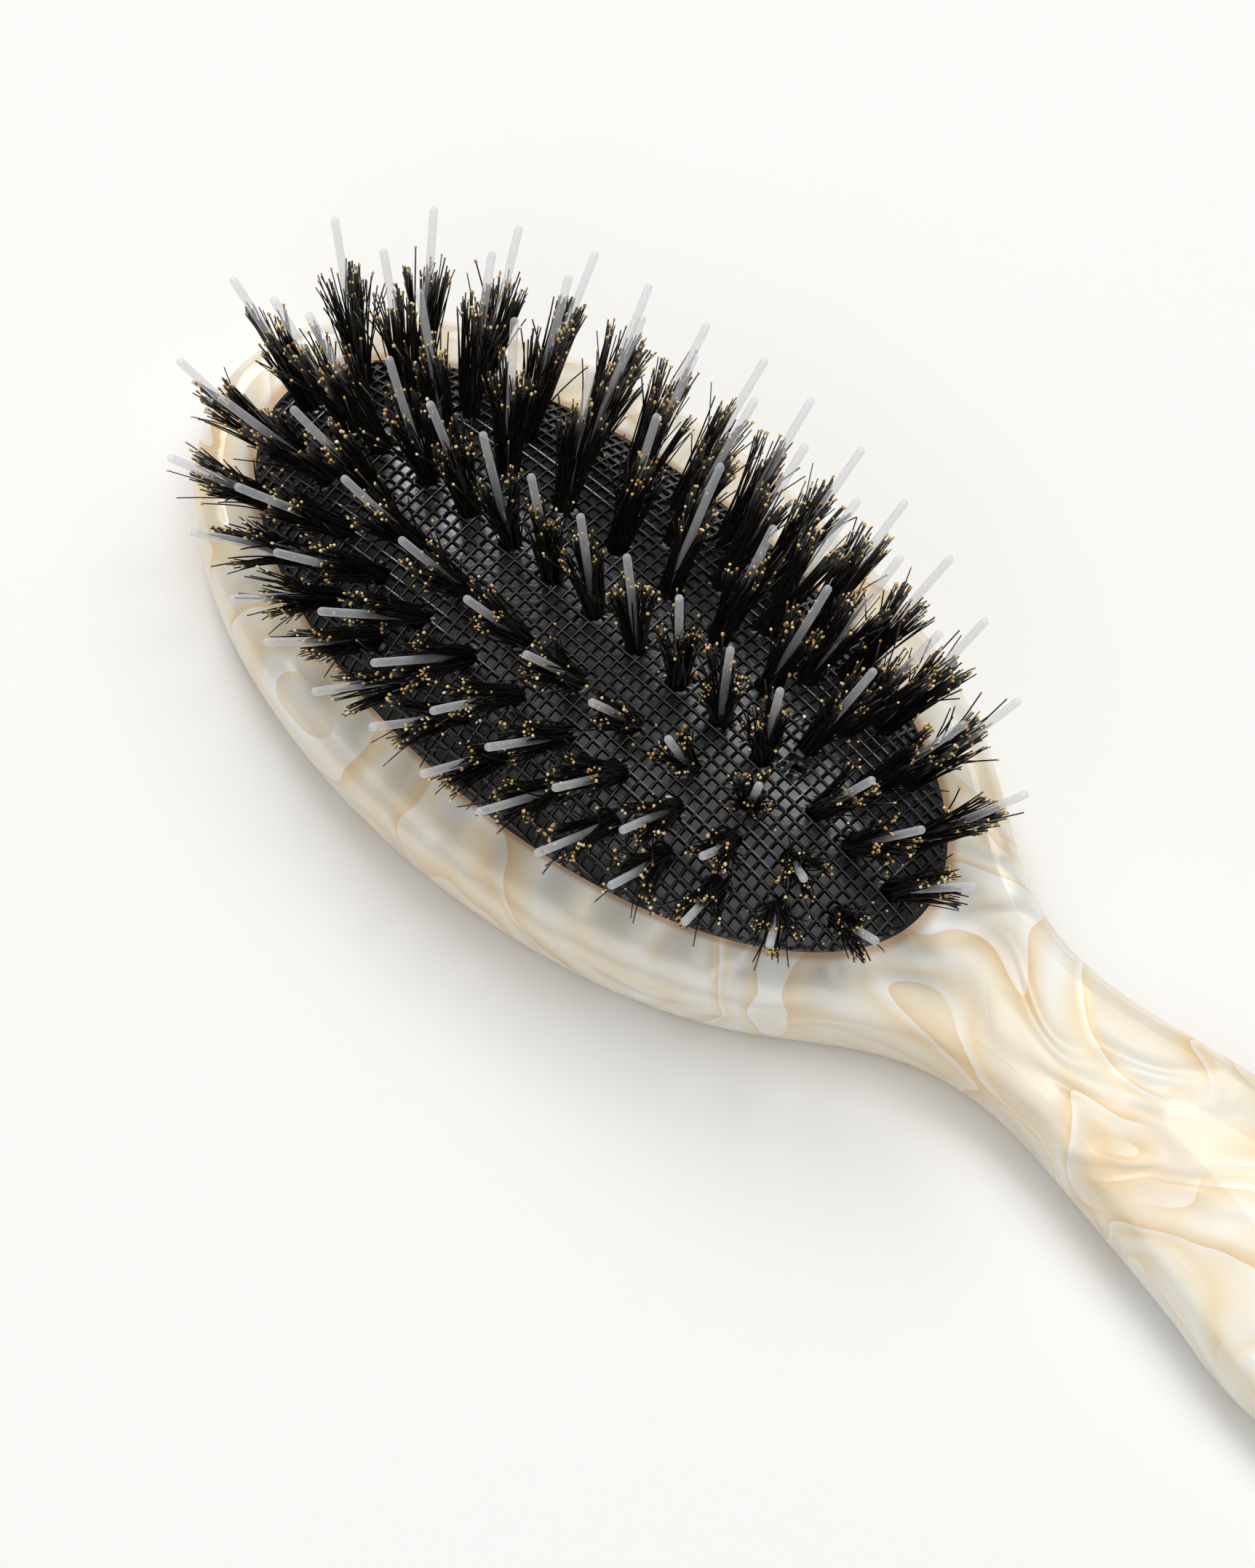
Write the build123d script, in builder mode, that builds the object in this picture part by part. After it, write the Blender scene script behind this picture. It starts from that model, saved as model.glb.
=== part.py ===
"""Oval vanity hairbrush: acetate body, pneumatic rubber cushion, mixed bristle and nylon tufts.

Frame: millimetres, +Z up through the bristles, +X from the head towards the handle's butt.
The origin is on the body's flat back, under the centre of the oval cushion.
"""
import os
from math import copysign, cos, pi, radians, sin, tan

from build123d import *

# Body outline, seen from above
HEAD_HALF_LENGTH = 61.4
HEAD_HALF_WIDTH = 34.0
HEAD_ARC = 140
SHOULDER = ((57.0, 15.2), (63.5, 12.1))
NECK = (72.5, 10.4)
GRIP_FLARE = ((90.0, 12.3), (110.0, 16.1))
GRIP_X = 131.0
GRIP_HALF_WIDTH = 18.6
BUTT_X = 160.0

# Body thickness: flat head, then a handle that is crowned across its width
FACE_Z = 11.5
BLANK_HEIGHT = 15.0
NECK_RISE = 1.2
NECK_RISE_X = (54.0, 90.0)
BUTT_FALL = 2.6
BUTT_FALL_X = (104.0, 180.0)
CROSS_BOW = 0.008
CROSS_BOW_X = (54.0, 82.0)
TOP_EDGE_RADIUS = 3.8
BACK_EDGE_RADIUS = 4.2

# Oval pocket in the head, with an undercut groove that grips the cushion's bead
POCKET_HALF_LENGTH = 53.2
POCKET_HALF_WIDTH = 25.6
POCKET_FLOOR_Z = 3.2
GROOVE_DEPTH = 1.7
GROOVE_LOW_Z = 7.4
GROOVE_HIGH_Z = 9.4

# Rubber cushion
CUSHION_HEIGHT = 10.2
CUSHION_SQUARENESS = 2.95
CUSHION_WALL = 1.4
DOME_OVERHANG = 1.12
SKIRT_GAP = 0.05
BEAD_GAP = 0.1
BEAD_WIDTH = 1.6
VENT_PLACE = (31.3, 1.8)
VENT_HOLE_RADIUS = 0.5
VENT_RING_RADIUS = 1.1
VENT_RING_HEIGHT = 0.35

# One tuft: bristles folded over an anchor wire, round a nylon pin.
# Lengths run along the tuft's own axis, from the cushion's outer surface.
TUFT_ROOT_RADIUS = 1.45
TUFT_TIP_RADIUS = 2.1
TUFT_LENGTH = 15.5
KNOT_RADIUS = 1.75
KNOT_TOP = -2.4
KNOT_BOTTOM = -4.6
TUFT_HOLE_GAP = 0.05
PIN_RADIUS = 0.525
PIN_LENGTH = 22.3
PIN_BORE_GAP = 0.05
PIN_HEAD_RADIUS = 0.95
PIN_HEAD_HEIGHT = 0.7
ANCHOR_RADIUS = 0.25
ANCHOR_HALF_LENGTH = 2.3
ANCHOR_OFFSET = 1.1
ANCHOR_HEIGHT = -3.5
ANCHOR_BORE_GAP = 0.03
ANCHOR_CHAMFER = 0.08

# Rings of tufts: equally spaced round ovals that are a little wider at the head's tip.
# half length, half width, tufts, side lean in degrees, end lean per unit, centre of the lean
RINGS = {
    "outer": (49.1, 19.6, 30, 42.5, 0.30, -1.0),
    "middle": (42.3, 14.5, 24, 39.5, 0.28, 1.5),
    "inner": (36.6, 8.5, 18, 22.5, 0.26, 4.5),
}
RING_ROUNDNESS = 2.4
RING_TAPER = -0.075
LEAN_GROWTH = 1.1
CENTRE_ROW = (-28.6, 27.5)
CENTRE_TUFTS = 9
CENTRE_LEAN = 0.0075
CENTRE_LEAN_X = 12.8
RING_STEPS = 3600


def oval_reach(x, y, half_length, half_width):
    """Distance from the middle of an oval, as a share of the way to its edge."""
    return ((x / half_length) ** 2 + (y / half_width) ** 2) ** 0.5


def dome_height(x, y):
    """Height of the cushion's outer surface over the body's face."""
    reach = oval_reach(x, y, POCKET_HALF_LENGTH, POCKET_HALF_WIDTH)
    return CUSHION_HEIGHT * (1 - reach**CUSHION_SQUARENESS)


def tuft_place(x, y, lean_x, lean_y):
    """Location of a tuft whose axis leans by the given slopes."""
    root = (x, y, FACE_Z + dome_height(x, y))
    return Plane(origin=root, x_dir=(1, 0, -lean_x), z_dir=(lean_x, lean_y, 1)).location


def ring_point(half_length, half_width, angle):
    """Point on a rounded oval that tapers along X."""
    along = copysign(abs(cos(angle)) ** (2 / RING_ROUNDNESS), cos(angle))
    across = copysign(abs(sin(angle)) ** (2 / RING_ROUNDNESS), sin(angle))
    return Vector(half_length * along, half_width * across * (1 + RING_TAPER * along))


def ring_places(name):
    """Tuft locations round one ring, from the handle end, through +Y, back to the start."""
    half_length, half_width, count, side_lean, end_lean, lean_centre = RINGS[name]
    points = [ring_point(half_length, half_width, 2 * pi * i / RING_STEPS) for i in range(RING_STEPS + 1)]
    lengths = [0.0]
    for before, after in zip(points, points[1:]):
        lengths.append(lengths[-1] + (after - before).length)
    places = []
    for i in range(count):
        target = lengths[-1] * i / count
        point = points[next(k for k, length in enumerate(lengths) if length >= target)]
        along = (point.X - lean_centre) / half_length
        lean_x = end_lean * along * (1 + LEAN_GROWTH * along**2)
        lean_y = tan(radians(side_lean)) * point.Y / half_width
        places.append(tuft_place(point.X, point.Y, lean_x, lean_y))
    return places


def centre_places():
    """Tuft locations along the centre line."""
    first, last = CENTRE_ROW
    step = (last - first) / (CENTRE_TUFTS - 1)
    stations = [first + step * i for i in range(CENTRE_TUFTS)]
    return [tuft_place(x, 0, CENTRE_LEAN * (x - CENTRE_LEAN_X), 0) for x in stations]


def tuft_rows():
    """Row name to tuft locations: each ring is two rows, left is +Y and holds the tip tuft."""
    rows = {"centre": centre_places()}
    for name in RINGS:
        places = ring_places(name)
        half = len(places) // 2
        rows[name + "_left"] = places[1 : half + 1]
        rows[name + "_right"] = places[half + 1 :] + places[:1]
    return rows


def ease(value, limits):
    """Smooth step from 0 at the first limit to 1 at the second."""
    low, high = limits
    t = min(max((value - low) / (high - low), 0), 1)
    return t**3 * (10 - 15 * t + 6 * t**2)


def body_height(x, y):
    """Top of the body: flat over the head, rising and bowed across the handle."""
    crest = FACE_Z + NECK_RISE * ease(x, NECK_RISE_X) - BUTT_FALL * ease(x, BUTT_FALL_X)
    return crest - CROSS_BOW * ease(x, CROSS_BOW_X) * y**2


def height_face(height_at, x_limits, y_limits, steps_x, steps_y):
    """Smooth face through the heights over a rectangle."""
    stations_x = [x_limits[0] + (x_limits[1] - x_limits[0]) * i / steps_x for i in range(steps_x + 1)]
    stations_y = [y_limits[0] + (y_limits[1] - y_limits[0]) * i / steps_y for i in range(steps_y + 1)]
    rows = [[Vector(x, y, height_at(x, y)) for y in stations_y] for x in stations_x]
    return Face.make_surface_from_array_of_points(rows, tol=0.01, min_deg=3, max_deg=3)


def make_dome(inset, base_z):
    """Solid under the oval dome, inset from the cushion's outer surface."""
    half_length = POCKET_HALF_LENGTH - inset
    half_width = POCKET_HALF_WIDTH - inset
    height = CUSHION_HEIGHT - inset

    def height_at(x, y):
        return FACE_Z + height * (1 - oval_reach(x, y, half_length, half_width) ** CUSHION_SQUARENESS)

    reach_x, reach_y = DOME_OVERHANG * half_length, DOME_OVERHANG * half_width
    surface = height_face(height_at, (-reach_x, reach_x), (-reach_y, reach_y), 24, 16)
    with BuildPart() as dome:
        with BuildSketch(Plane.XY.offset(base_z)):
            Ellipse(half_length, half_width)
        extrude(amount=FACE_Z + 2 * CUSHION_HEIGHT - base_z)
        split(bisect_by=surface, keep=Keep.BOTTOM)
    return dome.part


def make_tuft():
    """Bundle of bristles along +Z, with bores for its pin and its anchor wire."""
    with BuildPart() as tuft:
        with BuildSketch(Plane.XZ):
            with BuildLine():
                Polyline(
                    (0, KNOT_BOTTOM),
                    (KNOT_RADIUS - 0.4, KNOT_BOTTOM),
                    (KNOT_RADIUS, KNOT_BOTTOM + 0.6),
                    (KNOT_RADIUS, KNOT_TOP - 0.3),
                    (TUFT_ROOT_RADIUS, KNOT_TOP),
                    (TUFT_ROOT_RADIUS, 0.6),
                    (TUFT_TIP_RADIUS, TUFT_LENGTH - 0.5),
                    (TUFT_TIP_RADIUS - 0.6, TUFT_LENGTH),
                    (0, TUFT_LENGTH),
                    close=True,
                )
            make_face()
        revolve(axis=Axis.Z)
        with Locations((0, 0, KNOT_BOTTOM)):
            Cylinder(
                PIN_RADIUS + PIN_BORE_GAP,
                TUFT_LENGTH - KNOT_BOTTOM,
                align=(Align.CENTER, Align.CENTER, Align.MIN),
                mode=Mode.SUBTRACT,
            )
        with Locations((0, ANCHOR_OFFSET, ANCHOR_HEIGHT)):
            Cylinder(
                ANCHOR_RADIUS + ANCHOR_BORE_GAP,
                4 * KNOT_RADIUS,
                rotation=(0, 90, 0),
                mode=Mode.SUBTRACT,
            )
    return tuft.part


def make_pin():
    """Nylon pin along +Z: flat head under the knot, rounded tip."""
    dome_base = PIN_LENGTH - PIN_RADIUS
    with BuildPart() as pin:
        with BuildSketch(Plane.XZ):
            with BuildLine():
                side = Polyline(
                    (0, KNOT_BOTTOM - PIN_HEAD_HEIGHT),
                    (PIN_HEAD_RADIUS, KNOT_BOTTOM - PIN_HEAD_HEIGHT),
                    (PIN_HEAD_RADIUS, KNOT_BOTTOM),
                    (PIN_RADIUS, KNOT_BOTTOM),
                    (PIN_RADIUS, dome_base),
                )
                tip = CenterArc((0, dome_base), PIN_RADIUS, 0, 90)
                Line(tip @ 1, side @ 0)
            make_face()
        revolve(axis=Axis.Z)
    return pin.part


def make_anchor():
    """Short wire through the knot, which the folded bristles hang on."""
    with BuildPart() as anchor:
        with Locations((0, ANCHOR_OFFSET, ANCHOR_HEIGHT)):
            Cylinder(ANCHOR_RADIUS, 2 * ANCHOR_HALF_LENGTH, rotation=(0, 90, 0))
        chamfer(anchor.edges().filter_by(GeomType.CIRCLE), length=ANCHOR_CHAMFER)
    return anchor.part


ROWS = tuft_rows()
os.makedirs("parts", exist_ok=True)

# Acetate body: head and handle in one piece
body_x = (-HEAD_HALF_LENGTH - 11, BUTT_X + 16)
body_y = (-HEAD_HALF_WIDTH - 6, HEAD_HALF_WIDTH + 6)
top_face = height_face(body_height, body_x, body_y, 42, 10)
with BuildPart() as handle_body:
    with BuildSketch():
        with BuildLine():
            head = EllipticalCenterArc(
                (0, 0), HEAD_HALF_LENGTH, HEAD_HALF_WIDTH, start_angle=180, arc_size=-HEAD_ARC
            )
            grip_start = (GRIP_X, GRIP_HALF_WIDTH)
            Spline(
                [head @ 1, *SHOULDER, NECK, *GRIP_FLARE, grip_start],
                tangents=(head % 1, (1, 0)),
            )
            EllipticalCenterArc(
                (GRIP_X, 0), BUTT_X - GRIP_X, GRIP_HALF_WIDTH, start_angle=90, arc_size=-90
            )
            mirror(about=Plane.XZ)
        make_face()
    extrude(amount=BLANK_HEIGHT)
    split(bisect_by=top_face, keep=Keep.BOTTOM)
    level_edges = handle_body.edges().filter_by(Axis.Z, reverse=True)
    top_loop = level_edges.filter_by(lambda edge: edge.center().Z > FACE_Z / 2)
    back_loop = handle_body.faces().sort_by(Axis.Z)[0].edges()
    fillet(top_loop, radius=TOP_EDGE_RADIUS)
    fillet(back_loop, radius=BACK_EDGE_RADIUS)
    with BuildSketch(Plane.XY.offset(POCKET_FLOOR_Z)):
        Ellipse(POCKET_HALF_LENGTH, POCKET_HALF_WIDTH)
    extrude(amount=BLANK_HEIGHT, mode=Mode.SUBTRACT)
    with BuildSketch(Plane.XY.offset(GROOVE_LOW_Z)):
        Ellipse(POCKET_HALF_LENGTH + GROOVE_DEPTH, POCKET_HALF_WIDTH + GROOVE_DEPTH)
    extrude(amount=GROOVE_HIGH_Z - GROOVE_LOW_Z, mode=Mode.SUBTRACT)
handle_body.part.label = "handle_body"
export_step(handle_body.part, "parts/handle_body.step")

# Domed rubber cushion: bead in the groove, skirt through the mouth, thin dome above
bead_low_z = GROOVE_LOW_Z + BEAD_GAP
outer_dome = make_dome(SKIRT_GAP, bead_low_z)
inner_dome = make_dome(CUSHION_WALL, bead_low_z)
vent_base_z = FACE_Z + dome_height(*VENT_PLACE)
with BuildPart() as cushion:
    add(outer_dome)
    with BuildSketch(Plane.XY.offset(bead_low_z)):
        Ellipse(POCKET_HALF_LENGTH + BEAD_WIDTH, POCKET_HALF_WIDTH + BEAD_WIDTH)
    extrude(amount=GROOVE_HIGH_Z - GROOVE_LOW_Z - 2 * BEAD_GAP)
    with Locations((*VENT_PLACE, vent_base_z - CUSHION_WALL / 2)):
        Cylinder(
            VENT_RING_RADIUS,
            VENT_RING_HEIGHT + CUSHION_WALL / 2,
            align=(Align.CENTER, Align.CENTER, Align.MIN),
        )
    add(inner_dome, mode=Mode.SUBTRACT)
    with Locations((*VENT_PLACE, vent_base_z)):
        Cylinder(VENT_HOLE_RADIUS, 4 * CUSHION_WALL, mode=Mode.SUBTRACT)
    with Locations(*[place for places in ROWS.values() for place in places]):
        Cylinder(TUFT_ROOT_RADIUS + TUFT_HOLE_GAP, 3 * CUSHION_WALL, mode=Mode.SUBTRACT)
cushion.part.label = "cushion"
export_step(cushion.part, "parts/cushion.step")

# Tufts: bristles, pins and anchor wires, one node of each for every row
TUFT_PIECES = {"bristles": make_tuft(), "pins": make_pin(), "anchors": make_anchor()}
for row, places in ROWS.items():
    for kind, piece in TUFT_PIECES.items():
        with BuildPart() as group:
            with Locations(*places):
                add(piece)
        group.part.label = f"{kind}_{row}"
        export_step(group.part, f"parts/{kind}_{row}.step")
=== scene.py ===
"""Oval vanity hairbrush in a plain studio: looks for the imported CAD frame, in metres."""
import math
import random

import bmesh
import bpy
import numpy as np
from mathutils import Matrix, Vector


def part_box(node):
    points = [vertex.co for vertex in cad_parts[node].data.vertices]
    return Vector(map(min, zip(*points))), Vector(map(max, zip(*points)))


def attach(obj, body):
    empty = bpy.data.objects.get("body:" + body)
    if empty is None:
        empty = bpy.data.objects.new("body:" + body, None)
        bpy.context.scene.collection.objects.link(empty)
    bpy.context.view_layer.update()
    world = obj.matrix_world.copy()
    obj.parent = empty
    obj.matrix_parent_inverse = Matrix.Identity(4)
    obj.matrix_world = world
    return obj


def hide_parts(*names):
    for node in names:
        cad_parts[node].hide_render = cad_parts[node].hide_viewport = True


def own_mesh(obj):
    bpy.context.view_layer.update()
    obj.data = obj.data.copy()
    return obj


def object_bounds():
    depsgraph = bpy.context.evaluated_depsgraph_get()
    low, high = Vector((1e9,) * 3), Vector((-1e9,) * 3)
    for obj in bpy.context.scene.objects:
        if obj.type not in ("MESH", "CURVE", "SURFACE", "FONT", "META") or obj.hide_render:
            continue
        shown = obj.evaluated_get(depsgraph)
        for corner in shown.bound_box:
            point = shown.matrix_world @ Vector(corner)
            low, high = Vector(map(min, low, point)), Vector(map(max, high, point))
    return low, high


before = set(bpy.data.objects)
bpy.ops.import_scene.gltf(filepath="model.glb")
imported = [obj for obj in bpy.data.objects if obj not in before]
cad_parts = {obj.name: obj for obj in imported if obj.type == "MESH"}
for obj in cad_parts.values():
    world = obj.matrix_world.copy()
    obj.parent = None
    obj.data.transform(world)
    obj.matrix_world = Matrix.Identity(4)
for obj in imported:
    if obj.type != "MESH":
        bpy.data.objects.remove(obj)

MM = 0.001
CAD_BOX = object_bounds()

# Measures shared with the CAD model
BEAD_WIDTH = 1.6 * MM
DOME_HEIGHT = 10.2 * MM
DOME_SQUARENESS = 2.95
PIN_LENGTH = 22.3 * MM
PIN_RADIUS = 0.525 * MM
TUFT_LENGTH = 15.5 * MM

cushion_low, cushion_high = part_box("cushion")
HALF_LENGTH = cushion_high.x - BEAD_WIDTH
HALF_WIDTH = cushion_high.y - BEAD_WIDTH
FACE_Z = 11.5 * MM

# Cushion surface
CELL = 1.55 * MM
CELL_STATIONS = (0.0, 0.08, 0.17, 0.5, 0.83, 0.92)
RIB_RISE = {0.0: 1.0, 0.08: 0.9, 0.17: 0.0, 0.5: 0.02}
RIB_HEIGHT = 0.46 * MM
PLAIN_RIM = 0.99
SKIRT_DEPTH = 2.5 * MM
SOCKET_RADIUS = 1.55 * MM
SOCKET_DEPTH = 0.4 * MM
GRID_REACH = 1.06
WELD_DISTANCE = 0.02 * MM

# Air vent: a raised ring round a hole, with its radii in millimetres
VENT_PLACE = (31.3 * MM, 1.8 * MM)
VENT_REACH = 1.5
VENT_RING_RADIUS = 0.9
VENT_RING_SPREAD = 0.3
VENT_RING_HEIGHT = 0.35 * MM
VENT_HOLE_RADIUS = 0.5
VENT_HOLE_DEPTH = 0.8 * MM

# Bristles
BRISTLES_PER_TUFT = 84
CLUMPS_PER_TUFT = 9
BRISTLE_RADIUS = 0.125 * MM
BRISTLE_SIDES = 5
BRISTLE_STEPS = 6
ROOT_RADIUS = 1.35 * MM
FAN_RADIUS = 1.75 * MM
FAN_CURVE = 1.7
BURIED = 1.6 * MM
THICKNESSES = (0.75, 1.15)
BRISTLE_TAPER = 0.25
TUFT_SWAY = 0.035
WAVE_RADIUS = 0.35 * MM

# Clumps: bristles of a tuft gather into them, and lengths are shares of the tuft's
CLUMP_LENGTHS = (0.8, 1.0)
CLUMP_SCATTER = 0.8 * MM
CLUMP_LENGTH_SPREAD = (0.86, 1.05)
CHOICE_PULL = 0.4
CHOICE_BLUR_MM = 0.9
STRAY_SHARE = 0.1
STRAY_SPREAD = 2.4
STRAY_LENGTHS = (0.7, 1.02)

# Split ends
TIP_SHARE = 0.42
TIP_LENGTHS_MM = (0.2, 0.55)
TIP_SWELLS = (0.9, 2.1)
TIP_END = 0.6

# Pins
PIN_STEPS = 9
PIN_SIDES = 16
PIN_BEND_MM = 0.9
PIN_LENGTHS = (0.97, 1.01)
PIN_DOME_TURNS = (25, 50, 68, 82)

# First random seed of the rows' bristles and of their pins
BRISTLE_SEED = 100
PIN_SEED = 500

# Acetate colours, from the pocket's lip to the brightest pearl
AMBER = (0.50, 0.24, 0.07)
PEACH = (0.82, 0.58, 0.31)
SAND = (0.87, 0.73, 0.50)
IVORY = (0.89, 0.84, 0.71)
PEARL = (0.885, 0.87, 0.80)
WHITE = (0.96, 0.955, 0.92)

# Acetate pattern: two fold layers, each turned about Z and stretched, in centimetres
CENTIMETRES = (100.0, 100.0, 100.0)
FOLDS = ((0.75, (2.2, 0.8, 1.0)), (-0.5, (1.7, 0.9, 1.2)))
FOLD_SCALE = 0.52
FOLD_BANDS = 5.0
RIBBON = [(0.0, PEACH), (0.18, PEACH), (0.42, SAND), (0.64, IVORY), (0.82, PEARL), (1.0, WHITE)]
VEIL = [(0.0, PEACH), (0.12, SAND), (0.35, PEARL), (0.6, IVORY), (0.8, SAND), (1.0, WHITE)]
CLOUDS = [(0.40, PEACH), (0.5, SAND), (0.57, PEARL), (0.7, WHITE)]
CLOUD_SHARE = 0.3
SECOND_RELIEF = 0.6
RELIEF_DISTANCE = 0.00015

# Camera and its aim
AZIMUTH = math.radians(43.11)
ELEVATION = math.radians(63.98)
CAMERA_DISTANCE = 0.9674
TARGET = Vector((15.14 * MM, -10.80 * MM, FACE_Z))
LENS = 182.0
SENSOR_WIDTH = 36.0
CLIP_START = 0.01

# Studio: each sun has its strength, its angle in degrees and the direction it comes from
FLOOR_REACH = 3.0
FLOOR_GAP = 0.02 * MM
FLOOR_COLOUR = (0.915, 0.91, 0.895, 1.0)
ROOM_COLOUR = (1.0, 0.995, 0.985, 1.0)
ROOM_STRENGTH = 0.24
SUNS = {
    "key": (1.0, 36, (0.08, 0.40, 0.91)),
    "fill": (0.9, 70, (0.15, -0.45, 0.88)),
}
PANEL_SIZE = (0.9, 1.55)
PANEL_POWER = 35
PANEL_DIRECTION = (-0.62, 0.32, 0.72)
PANEL_DISTANCE = 3.0


# ---------------------------------------------------------------- helpers
def link(name, data):
    """New object holding the mesh, camera or lamp data."""
    piece = bpy.data.objects.new(name, data)
    bpy.context.scene.collection.objects.link(piece)
    return piece


def smooth(mesh):
    """Smooth shading on every face."""
    mesh.polygons.foreach_set("use_smooth", [True] * len(mesh.polygons))


def cross_frame(direction):
    """Two unit vectors square to a direction."""
    side = direction.cross(Vector((0.0, 1.0, 0.0)))
    if side.length < 0.1:
        side = direction.cross(Vector((1.0, 0.0, 0.0)))
    side.normalize()
    return side, direction.cross(side).normalized()


def tube(path, radii, sides, verts, faces):
    """Adds a closed tube along the path to the lists, and returns the number of its first face."""
    first_vertex, first_face = len(verts), len(faces)
    side, up = cross_frame((path[-1] - path[0]).normalized())
    circle = [2 * math.pi * k / sides for k in range(sides)]
    for point, radius in zip(path, radii):
        for angle in circle:
            verts.append(point + radius * (math.cos(angle) * side + math.sin(angle) * up))
    for ring in range(len(path) - 1):
        low = first_vertex + ring * sides
        for k in range(sides):
            after = (k + 1) % sides
            faces.append((low + k, low + after, low + sides + after, low + sides + k))
    faces.append(tuple(first_vertex + k for k in reversed(range(sides))))
    last = first_vertex + (len(path) - 1) * sides
    faces.append(tuple(last + k for k in range(sides)))
    return first_face


def dress(node, material):
    """Gives a CAD node its material."""
    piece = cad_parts[node]
    if not piece.material_slots:
        piece.data.materials.append(material)
    for holder in piece.material_slots:
        holder.material = material


def tuft_axes(node):
    """Root point and direction of each tuft in a row, read from the row's CAD pins."""
    bm = bmesh.new()
    bm.from_mesh(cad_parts[node].data)
    bmesh.ops.remove_doubles(bm, verts=bm.verts, dist=1e-6)
    seen, axes = set(), []
    for start in bm.verts:
        if start in seen:
            continue
        stack, island = [start], []
        seen.add(start)
        while stack:
            vertex = stack.pop()
            island.append(vertex.co[:])
            for edge in vertex.link_edges:
                other = edge.other_vert(vertex)
                if other not in seen:
                    seen.add(other)
                    stack.append(other)
        points = np.array(island)
        centre = points.mean(0)
        direction = np.linalg.svd(points - centre)[2][0]
        direction = direction if direction[2] > 0 else -direction
        reach = ((points - centre) @ direction).max() - PIN_LENGTH
        axes.append((Vector(centre + direction * reach), Vector(direction)))
    bm.free()
    return sorted(axes, key=lambda axis: (round(axis[0].x, 5), round(axis[0].y, 5)))


# ---------------------------------------------------------------- materials
def new_material(name):
    """Node material with its tree, links and shader."""
    material = bpy.data.materials.new(name)
    material.use_nodes = True
    tree = material.node_tree
    return material, tree, tree.nodes["Principled BSDF"]


def add_node(tree, kind, **values):
    """Adds a node; values are properties, or inputs when their name is one."""
    made = tree.nodes.new(kind)
    for key, value in values.items():
        if key in made.inputs:
            made.inputs[key].default_value = value
        else:
            setattr(made, key, value)
    return made


def add_ramp(tree, factor, stops):
    """Colour ramp with the given (position, colour) stops."""
    ramp = tree.nodes.new("ShaderNodeValToRGB")
    elements = ramp.color_ramp.elements
    while len(elements) > 1:
        elements.remove(elements[-1])
    for index, (position, colour) in enumerate(stops):
        element = elements[0] if index == 0 else elements.new(position)
        element.position = position
        element.color = (*colour, 1.0)
    tree.links.new(factor, ramp.inputs["Fac"])
    return ramp.outputs["Color"]


def grey(value):
    """Grey of the given value."""
    return (value, value, value)


def object_noise(tree, scale, detail):
    """Noise over the piece's own coordinates."""
    place = add_node(tree, "ShaderNodeTexCoord")
    noise = add_node(tree, "ShaderNodeTexNoise", Scale=scale, Detail=detail)
    tree.links.new(place.outputs["Object"], noise.inputs["Vector"])
    return noise.outputs["Fac"]


def vector_math(tree, operation, first, second=None, scale=None):
    """Vector maths node; returns the node."""
    made = tree.nodes.new("ShaderNodeVectorMath")
    made.operation = operation
    tree.links.new(first, made.inputs[0])
    if isinstance(second, tuple):
        made.inputs[1].default_value = second
    elif second is not None:
        tree.links.new(second, made.inputs[1])
    if scale is not None:
        made.inputs["Scale"].default_value = scale
    return made


def warp(tree, vector, scale, amount, detail):
    """The vector pushed about by a coloured noise."""
    noise = add_node(tree, "ShaderNodeTexNoise", Scale=scale, Detail=detail)
    tree.links.new(vector, noise.inputs["Vector"])
    centred = vector_math(tree, "SUBTRACT", noise.outputs["Color"], (0.5, 0.5, 0.5))
    push = vector_math(tree, "SCALE", centred.outputs["Vector"], scale=amount)
    return vector_math(tree, "ADD", vector, push.outputs["Vector"]).outputs["Vector"]


def math_node(tree, operation, first, second=None, third=None):
    """Maths node on sockets or numbers; returns its output."""
    made = tree.nodes.new("ShaderNodeMath")
    made.operation = operation
    for index, value in enumerate((first, second, third)):
        if isinstance(value, (int, float)):
            made.inputs[index].default_value = value
        elif value is not None:
            tree.links.new(value, made.inputs[index])
    return made.outputs["Value"]


def fold_layer(tree, vector, scale, bands):
    """Nested flowing bands of pearl, each graded across its width.

    Returns the place across the band, a random tone for the band, and a smooth swell.
    """
    noise = add_node(tree, "ShaderNodeTexNoise", Scale=scale, Detail=0.6, Roughness=0.4)
    tree.links.new(vector, noise.inputs["Vector"])
    level = math_node(tree, "MULTIPLY", noise.outputs["Fac"], bands)
    across = math_node(tree, "FRACT", level)
    number = math_node(tree, "FLOOR", level)
    tone = add_node(tree, "ShaderNodeTexWhiteNoise", noise_dimensions="1D")
    tree.links.new(number, tone.inputs["W"])
    swell = math_node(tree, "SINE", math_node(tree, "MULTIPLY", level, 2 * math.pi))
    return across, tone.outputs["Value"], swell


def mix_colour(tree, factor, first, second):
    """Colour mix; the factor is a number or a socket."""
    made = add_node(tree, "ShaderNodeMix", data_type="RGBA")
    if isinstance(factor, float):
        made.inputs[0].default_value = factor
    else:
        tree.links.new(factor, made.inputs[0])
    tree.links.new(first, made.inputs[6])
    if isinstance(second, tuple):
        made.inputs[7].default_value = (*second, 1.0)
    else:
        tree.links.new(second, made.inputs[7])
    return made.outputs[2]


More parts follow.
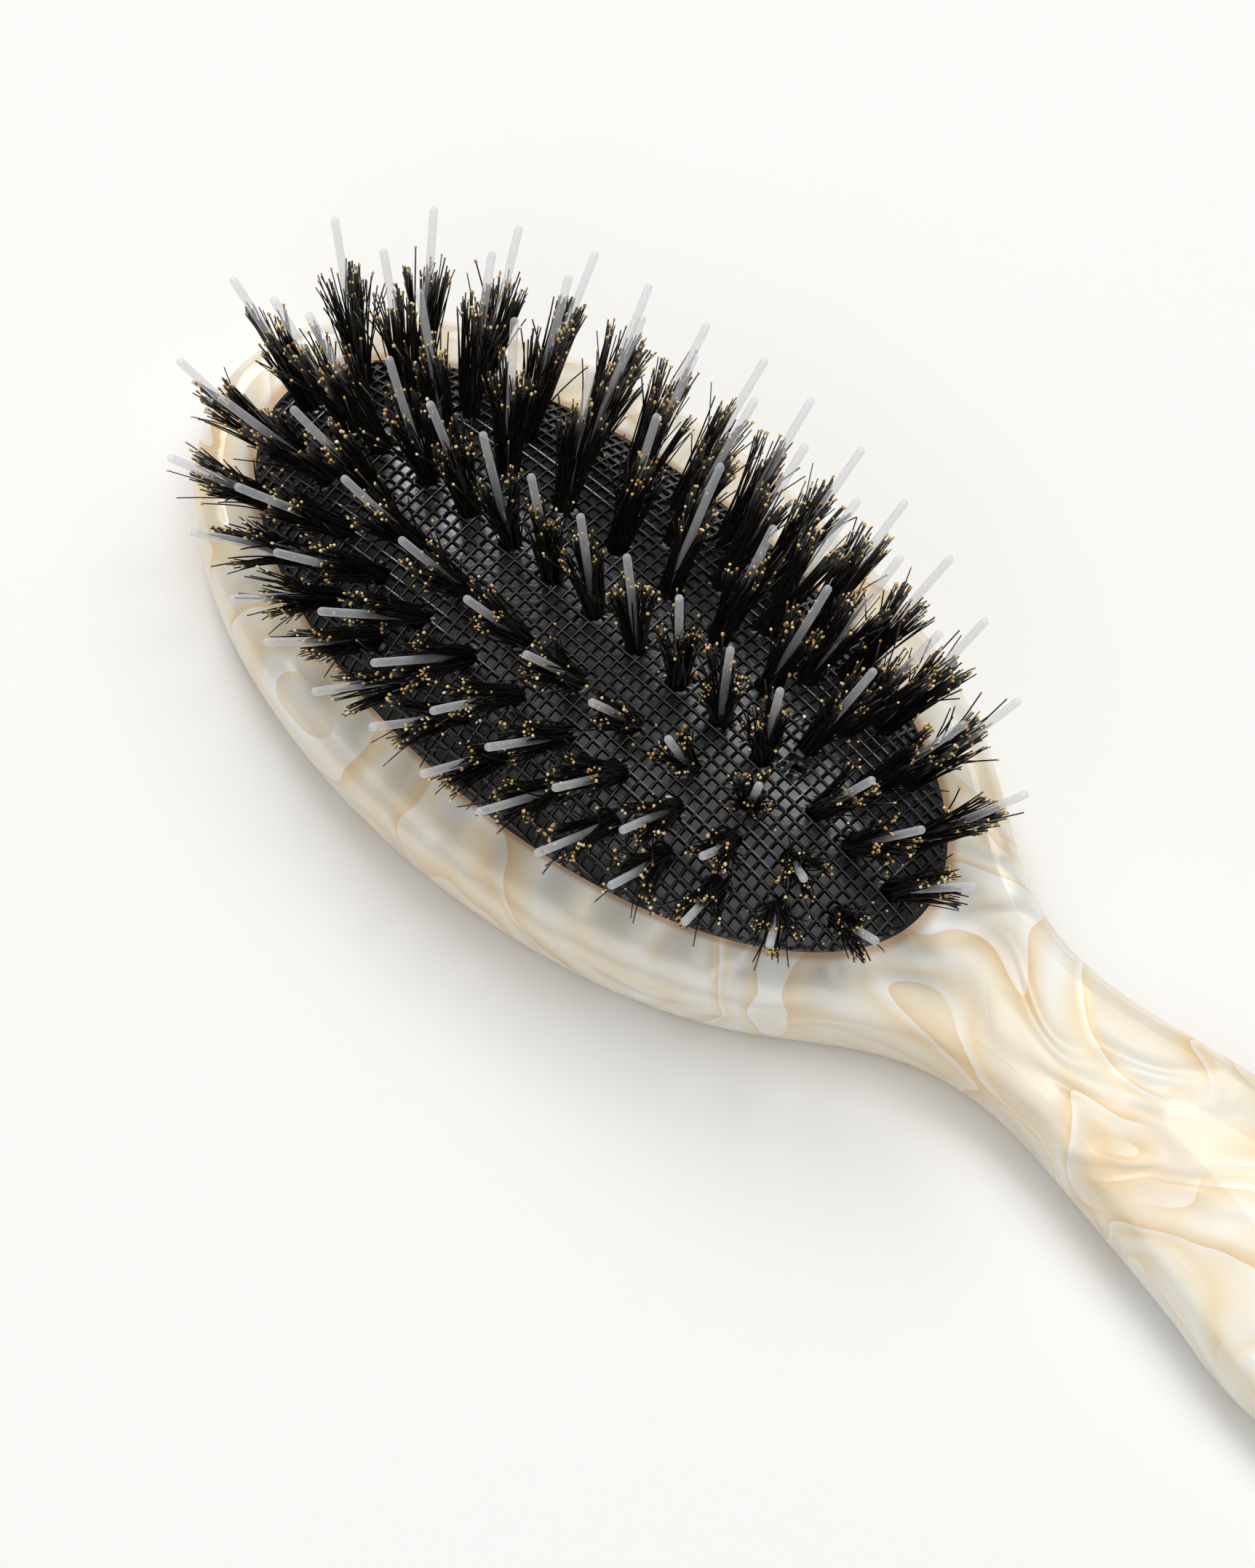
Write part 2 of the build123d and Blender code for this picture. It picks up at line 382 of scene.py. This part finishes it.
def acetate_material():
    """Cream acetate: long folded ribbons of pearl in peach, under a polished surface."""
    material, tree, shader = new_material("acetate")
    links = tree.links
    place = add_node(tree, "ShaderNodeTexCoord")
    unit = add_node(tree, "ShaderNodeMapping")
    unit.inputs["Scale"].default_value = CENTIMETRES
    links.new(place.outputs["Object"], unit.inputs["Vector"])
    flow = warp(tree, unit.outputs["Vector"], scale=0.28, amount=4.0, detail=0.5)
    flow = warp(tree, flow, scale=0.9, amount=0.8, detail=0.5)

    colours, swells = [], []
    for turn, stretch in FOLDS:
        lay = add_node(tree, "ShaderNodeMapping", vector_type="TEXTURE")
        lay.inputs["Rotation"].default_value = (0.0, 0.0, turn)
        lay.inputs["Scale"].default_value = stretch
        links.new(flow, lay.inputs["Vector"])
        across, tone, swell = fold_layer(tree, lay.outputs["Vector"], FOLD_SCALE, FOLD_BANDS)
        ribbon = add_ramp(tree, across, RIBBON)
        veil = add_ramp(tree, across, VEIL)
        choice = add_ramp(tree, tone, [(0.5, grey(0.0)), (0.6, grey(1.0))])
        colours.append(mix_colour(tree, choice, ribbon, veil))
        swells.append(swell)
    where = add_node(tree, "ShaderNodeTexNoise", Scale=0.4, Detail=1.0)
    links.new(unit.outputs["Vector"], where.inputs["Vector"])
    share = add_ramp(tree, where.outputs["Fac"], [(0.44, grey(0.05)), (0.56, grey(0.95))])
    colour = mix_colour(tree, share, *colours)

    clouds = add_node(tree, "ShaderNodeTexNoise", Scale=0.5, Detail=2.0, Roughness=0.5)
    links.new(flow, clouds.inputs["Vector"])
    cloud = add_ramp(tree, clouds.outputs["Fac"], CLOUDS)
    colour = mix_colour(tree, CLOUD_SHARE, colour, cloud)

    across_pocket = add_node(tree, "ShaderNodeMapping")
    across_pocket.inputs["Scale"].default_value = (1 / HALF_LENGTH, 1 / HALF_WIDTH, 0.0)
    links.new(place.outputs["Object"], across_pocket.inputs["Vector"])
    reach = vector_math(tree, "LENGTH", across_pocket.outputs["Vector"]).outputs["Value"]
    half_reach = math_node(tree, "MULTIPLY", reach, 0.5)
    lip = add_ramp(tree, half_reach, [(0.507, grey(0.7)), (0.517, grey(0.0))])
    colour = mix_colour(tree, lip, colour, AMBER)
    links.new(colour, shader.inputs["Base Color"])

    relief = math_node(tree, "MULTIPLY_ADD", swells[1], SECOND_RELIEF, swells[0])
    bump = add_node(tree, "ShaderNodeBump", Strength=1.0, Distance=RELIEF_DISTANCE)
    links.new(relief, bump.inputs["Height"])
    links.new(bump.outputs["Normal"], shader.inputs["Normal"])

    shader.inputs["Roughness"].default_value = 0.36
    shader.inputs["Metallic"].default_value = 0.1
    shader.inputs["Specular IOR Level"].default_value = 0.4
    shader.inputs["Subsurface Weight"].default_value = 0.15
    shader.inputs["Subsurface Radius"].default_value = (1.0, 0.78, 0.5)
    shader.inputs["Subsurface Scale"].default_value = 0.002
    shader.inputs["Coat Weight"].default_value = 1.0
    shader.inputs["Coat Roughness"].default_value = 0.03
    shader.inputs["Coat IOR"].default_value = 1.42
    return material


def rubber_material():
    """Black embossed rubber, a little dusty and uneven in shine."""
    material, tree, shader = new_material("rubber")
    grain = object_noise(tree, 900.0, 4.0)
    shade = add_ramp(tree, grain, [(0.35, (0.002, 0.002, 0.0022)), (0.7, (0.008, 0.008, 0.009))])
    shine = add_ramp(tree, grain, [(0.3, grey(0.15)), (0.7, grey(0.28))])
    tree.links.new(shade, shader.inputs["Base Color"])
    tree.links.new(shine, shader.inputs["Roughness"])
    shader.inputs["Specular IOR Level"].default_value = 0.75
    return material


def bristle_material():
    """Dark natural bristle with a faint brown cast and a soft shine."""
    material, tree, shader = new_material("bristle")
    shade = add_ramp(
        tree, object_noise(tree, 1500.0, 2.0),
        [(0.4, (0.0035, 0.003, 0.003)), (0.62, (0.012, 0.008, 0.006)),
         (0.75, (0.05, 0.028, 0.014))],
    )
    tree.links.new(shade, shader.inputs["Base Color"])
    shader.inputs["Roughness"].default_value = 0.3
    shader.inputs["Specular IOR Level"].default_value = 0.6
    return material


def tip_material():
    """Split bristle ends, amber to cream."""
    material, tree, shader = new_material("bristle_tip")
    shade = add_ramp(
        tree, object_noise(tree, 700.0, 2.0),
        [(0.3, (0.22, 0.1, 0.02)), (0.43, (0.55, 0.3, 0.07)), (0.55, (0.85, 0.58, 0.2)),
         (0.66, (0.95, 0.84, 0.55))],
    )
    tree.links.new(shade, shader.inputs["Base Color"])
    shader.inputs["Roughness"].default_value = 0.4
    return material


def nylon_material():
    """Translucent nylon, very slightly frosted; it hides more where it is seen edge on."""
    material, tree, shader = new_material("nylon")
    frost = object_noise(tree, 400.0, 2.0)
    shade = add_ramp(tree, frost, [(0.3, (0.84, 0.86, 0.90)), (0.7, (0.93, 0.94, 0.97))])
    shine = add_ramp(tree, frost, [(0.3, grey(0.22)), (0.7, grey(0.3))])
    tree.links.new(shade, shader.inputs["Base Color"])
    tree.links.new(shine, shader.inputs["Roughness"])
    edge = add_node(tree, "ShaderNodeLayerWeight", Blend=0.4)
    cover = add_ramp(
        tree, edge.outputs["Facing"],
        [(0.0, grey(0.26)), (0.45, grey(0.31)), (0.9, grey(0.62))],
    )
    tree.links.new(cover, shader.inputs["Alpha"])
    return material


def wire_material():
    """Drawn steel wire."""
    material, tree, shader = new_material("wire")
    drawn = object_noise(tree, 2000.0, 2.0)
    shine = add_ramp(tree, drawn, [(0.3, grey(0.25)), (0.7, grey(0.4))])
    tree.links.new(shine, shader.inputs["Roughness"])
    shader.inputs["Base Color"].default_value = (0.6, 0.6, 0.6, 1.0)
    shader.inputs["Metallic"].default_value = 1.0
    return material


# ---------------------------------------------------------------- camera, floor and light
def make_camera():
    """Long lens over the camera-side shoulder of the head; the handle runs out of view."""
    data = bpy.data.cameras.new("camera")
    data.lens = LENS
    data.sensor_width = SENSOR_WIDTH
    camera = link("camera", data)
    back = Vector((
        math.sin(AZIMUTH) * math.cos(ELEVATION),
        -math.cos(AZIMUTH) * math.cos(ELEVATION),
        math.sin(ELEVATION),
    ))
    camera.location = TARGET + CAMERA_DISTANCE * back
    camera.rotation_euler = back.to_track_quat("Z", "Y").to_euler()
    data.clip_start = CLIP_START
    bpy.context.scene.camera = camera


def make_floor():
    """Plain pale floor under the brush."""
    mesh = bpy.data.meshes.new("floor")
    signs = ((-1, -1), (1, -1), (1, 1), (-1, 1))
    corners = [(x * FLOOR_REACH, y * FLOOR_REACH, 0.0) for x, y in signs]
    mesh.from_pydata(corners, [], [(0, 1, 2, 3)])
    floor = link("floor", mesh)
    floor.location.z = CAD_BOX[0].z - FLOOR_GAP
    material, _, shader = new_material("paper")
    shader.inputs["Base Color"].default_value = FLOOR_COLOUR
    shader.inputs["Roughness"].default_value = 0.9
    shader.inputs["Specular IOR Level"].default_value = 0.15
    mesh.materials.append(material)


def aim_lamp(data, direction, distance):
    """Places a lamp out along the direction from the brush, facing it."""
    lamp = link(data.name, data)
    outward = Vector(direction).normalized()
    lamp.location = TARGET + distance * outward
    lamp.rotation_euler = (-outward).to_track_quat("-Z", "Y").to_euler()


def make_light():
    """White room, a soft sun from beyond the brush and one from before it, and a panel."""
    world = bpy.data.worlds.new("studio")
    world.use_nodes = True
    background = world.node_tree.nodes["Background"]
    background.inputs["Color"].default_value = ROOM_COLOUR
    background.inputs["Strength"].default_value = ROOM_STRENGTH
    bpy.context.scene.world = world
    for name, (strength, angle, direction) in SUNS.items():
        sun = bpy.data.lights.new(name, "SUN")
        sun.energy = strength
        sun.angle = math.radians(angle)
        aim_lamp(sun, direction, 1.0)
    panel = bpy.data.lights.new("panel", "AREA")
    panel.shape = "RECTANGLE"
    panel.size, panel.size_y = PANEL_SIZE
    panel.energy = PANEL_POWER
    aim_lamp(panel, PANEL_DIRECTION, PANEL_DISTANCE)
    bpy.context.scene.view_settings.view_transform = "Standard"
    bpy.context.scene.view_settings.look = "None"


# ---------------------------------------------------------------- cushion
def dome_z(x, y):
    """Height of the cushion's plain surface."""
    reach = math.hypot(x / HALF_LENGTH, y / HALF_WIDTH)
    return FACE_Z + DOME_HEIGHT * (1 - min(reach, 1.0) ** DOME_SQUARENESS)


def rib_share(share):
    """1 on the rib between two cells, 0 on the floor of the pit."""
    return RIB_RISE[round(min(share, 1 - share), 3)]


def emboss(share_x, share_y):
    """Height of the ribbed pattern inside one cell, over the middle level."""
    return RIB_HEIGHT * (max(rib_share(share_x), rib_share(share_y)) - 0.5)


def relief_at(x, y, share_x, share_y, roots):
    """Emboss, tuft sockets and vent, as height over the plain dome."""
    reach = math.hypot(x / HALF_LENGTH, y / HALF_WIDTH)
    height = emboss(share_x, share_y) if reach < PLAIN_RIM else 0.0
    nearest = min(math.hypot(x - root.x, y - root.y) for root in roots)
    if nearest < SOCKET_RADIUS:
        height = -SOCKET_DEPTH * (1 - (nearest / SOCKET_RADIUS) ** 2)
    vent = math.hypot(x - VENT_PLACE[0], y - VENT_PLACE[1]) / MM
    if vent < VENT_REACH:
        across_ring = (vent - VENT_RING_RADIUS) / VENT_RING_SPREAD
        height = VENT_RING_HEIGHT * math.exp(-(across_ring**2))
        if vent < VENT_HOLE_RADIUS:
            height -= VENT_HOLE_DEPTH
    return height


def make_cushion(roots):
    """Domed rubber with its embossed mesh; the grid follows the cells."""
    cells_x = math.ceil(HALF_LENGTH / CELL) + 1
    cells_y = math.ceil(HALF_WIDTH / CELL) + 1
    xs = [((i + s) * CELL, s) for i in range(-cells_x, cells_x) for s in CELL_STATIONS]
    ys = [((j + s) * CELL, s) for j in range(-cells_y, cells_y) for s in CELL_STATIONS]
    bm = bmesh.new()
    grid = {}
    for i, (x, share_x) in enumerate(xs):
        for j, (y, share_y) in enumerate(ys):
            reach = math.hypot(x / HALF_LENGTH, y / HALF_WIDTH)
            if reach > GRID_REACH:
                continue
            clamp = max(reach, 1.0)
            place_x, place_y = x / clamp, y / clamp
            z = dome_z(place_x, place_y) + relief_at(place_x, place_y, share_x, share_y, roots)
            grid[i, j] = (bm.verts.new((place_x, place_y, z)), reach)
    for i in range(len(xs) - 1):
        for j in range(len(ys) - 1):
            keys = [(i, j), (i + 1, j), (i + 1, j + 1), (i, j + 1)]
            if all(key in grid for key in keys) and min(grid[key][1] for key in keys) < 1.0:
                bm.faces.new([grid[key][0] for key in keys])
    bmesh.ops.remove_doubles(bm, verts=bm.verts, dist=WELD_DISTANCE)
    for vertex in [v for v in bm.verts if not v.link_faces]:
        bm.verts.remove(vertex)
    rim = [edge for edge in bm.edges if len(edge.link_faces) == 1]
    skirt = bmesh.ops.extrude_edge_only(bm, edges=rim)["geom"]
    for vertex in [item for item in skirt if isinstance(item, bmesh.types.BMVert)]:
        vertex.co.z = FACE_Z - SKIRT_DEPTH
    bmesh.ops.recalc_face_normals(bm, faces=bm.faces)
    mesh = bpy.data.meshes.new("rubber_cushion")
    bm.to_mesh(mesh)
    bm.free()
    mesh.materials.append(MATERIALS["rubber"])
    cushion = link("rubber_cushion", mesh)
    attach(cushion, "root")
    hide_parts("cushion")
    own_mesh(cushion)


# ---------------------------------------------------------------- tufts
def in_disc(side, up, radius, rng):
    """Random offset inside a disc square to a tuft."""
    angle, reach = rng.uniform(0, 2 * math.pi), radius * math.sqrt(rng.uniform(0, 1))
    return reach * (math.cos(angle) * side + math.sin(angle) * up)


def make_clumps(direction, rng):
    """Where each clump of one tuft ends: offset from the tuft's line, and length."""
    side, up = cross_frame(direction)
    reach = ROOT_RADIUS + FAN_RADIUS
    return [
        (in_disc(side, up, reach, rng), TUFT_LENGTH * rng.uniform(*CLUMP_LENGTHS))
        for _ in range(CLUMPS_PER_TUFT)
    ]


def choose_clump(start, clumps, rng):
    """The clump nearest to the bristle's start, with a little chance in the choice."""

    def distance(clump):
        return (clump[0] * CHOICE_PULL - start).length + rng.uniform(0, CHOICE_BLUR_MM) * MM

    return min(clumps, key=distance)


def bristle_path(root, direction, clumps, rng):
    """One bristle: leaves the root with the tuft, then bends over to its clump; a few stray."""
    side, up = cross_frame(direction)
    start = in_disc(side, up, ROOT_RADIUS, rng)
    if rng.random() < STRAY_SHARE:
        end = in_disc(side, up, ROOT_RADIUS + STRAY_SPREAD * FAN_RADIUS, rng)
        length = TUFT_LENGTH * rng.uniform(*STRAY_LENGTHS)
    else:
        end, length = choose_clump(start, clumps, rng)
        end = end + in_disc(side, up, CLUMP_SCATTER, rng)
        length = length * rng.uniform(*CLUMP_LENGTH_SPREAD)
    wave = in_disc(side, up, WAVE_RADIUS, rng)
    path = []
    for step in range(BRISTLE_STEPS + 1):
        share = step / BRISTLE_STEPS
        along = direction * (share * (length + BURIED) - BURIED)
        sideways = start + (end - start) * share**FAN_CURVE + wave * math.sin(math.pi * share)
        path.append(root + along + sideways)
    return path


def add_tip(path, rng):
    """Two short steps past the end of the path, for a blunt split tip."""
    end_direction = (path[-1] - path[-2]).normalized()
    length = rng.uniform(*TIP_LENGTHS_MM) * MM
    return [path[-1] + end_direction * length * 0.5, path[-1] + end_direction * length]


def make_bristles(row, body, axes, rng):
    """All the bristles of one row of tufts."""
    verts, faces, tip_faces = [], [], []
    for root, direction in axes:
        sway = Vector((rng.uniform(-1, 1), rng.uniform(-1, 1), 0.0)) * TUFT_SWAY
        lean = (direction + sway).normalized()
        clumps = make_clumps(lean, rng)
        for _ in range(BRISTLES_PER_TUFT):
            path = bristle_path(root, lean, clumps, rng)
            radius = BRISTLE_RADIUS * rng.uniform(*THICKNESSES)
            radii = [
                radius * (1.0 - BRISTLE_TAPER * k / BRISTLE_STEPS) for k in range(len(path))
            ]
            tube(path, radii, BRISTLE_SIDES, verts, faces)
            if rng.random() < TIP_SHARE:
                tip = add_tip(path, rng)
                swell = rng.uniform(*TIP_SWELLS)
                tip_radii = [radius, radius * swell, radius * TIP_END * swell]
                start = tube([path[-1], *tip], tip_radii, BRISTLE_SIDES, verts, faces)
                tip_faces.extend(range(start, len(faces)))
    mesh = bpy.data.meshes.new("tuft_" + row)
    mesh.from_pydata([v[:] for v in verts], [], faces)
    mesh.materials.append(MATERIALS["bristle"])
    mesh.materials.append(MATERIALS["bristle_tip"])
    for index in tip_faces:
        mesh.polygons[index].material_index = 1
    smooth(mesh)
    piece = link("tuft_" + row, mesh)
    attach(piece, body)
    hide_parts("bristles_" + row)


def make_pins(row, body, axes, rng):
    """Nylon pins of one row, each a little bent."""
    verts, faces = [], []
    for root, direction in axes:
        side, up = cross_frame(direction)
        angle = rng.uniform(0, 2 * math.pi)
        bend = math.cos(angle) * side + math.sin(angle) * up
        bend = bend * rng.uniform(0.0, PIN_BEND_MM) * MM
        length = PIN_LENGTH * rng.uniform(*PIN_LENGTHS) - PIN_RADIUS
        path = []
        for step in range(PIN_STEPS + 1):
            share = step / PIN_STEPS
            along = direction * (share * (length + BURIED) - BURIED)
            path.append(root + along + bend * share**2)
        end_direction = (path[-1] - path[-2]).normalized()
        radii = [PIN_RADIUS] * len(path)
        for turn in map(math.radians, PIN_DOME_TURNS):
            path.append(path[PIN_STEPS] + end_direction * PIN_RADIUS * math.sin(turn))
            radii.append(PIN_RADIUS * math.cos(turn))
        tube(path, radii, PIN_SIDES, verts, faces)
    mesh = bpy.data.meshes.new("pin_" + row)
    mesh.from_pydata([v[:] for v in verts], [], faces)
    mesh.materials.append(MATERIALS["nylon"])
    smooth(mesh)
    piece = link("pin_" + row, mesh)
    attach(piece, body)
    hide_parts("pins_" + row)


# ---------------------------------------------------------------- build
MATERIALS = {
    "acetate": acetate_material(),
    "rubber": rubber_material(),
    "bristle": bristle_material(),
    "bristle_tip": tip_material(),
    "nylon": nylon_material(),
    "wire": wire_material(),
}
make_camera()
make_floor()
make_light()

rows = sorted(node[len("pins_"):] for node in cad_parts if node.startswith("pins_"))
row_axes = {row: tuft_axes("pins_" + row) for row in rows}
dress("handle_body", MATERIALS["acetate"])
for row in rows:
    dress("anchors_" + row, MATERIALS["wire"])
make_cushion([root for axes in row_axes.values() for root, _ in axes])
for number, row in enumerate(rows):
    ring_body = "tufts_" + row.split("_")[0]
    make_bristles(row, ring_body, row_axes[row], random.Random(BRISTLE_SEED + number))
    make_pins(row, ring_body, row_axes[row], random.Random(PIN_SEED + number))
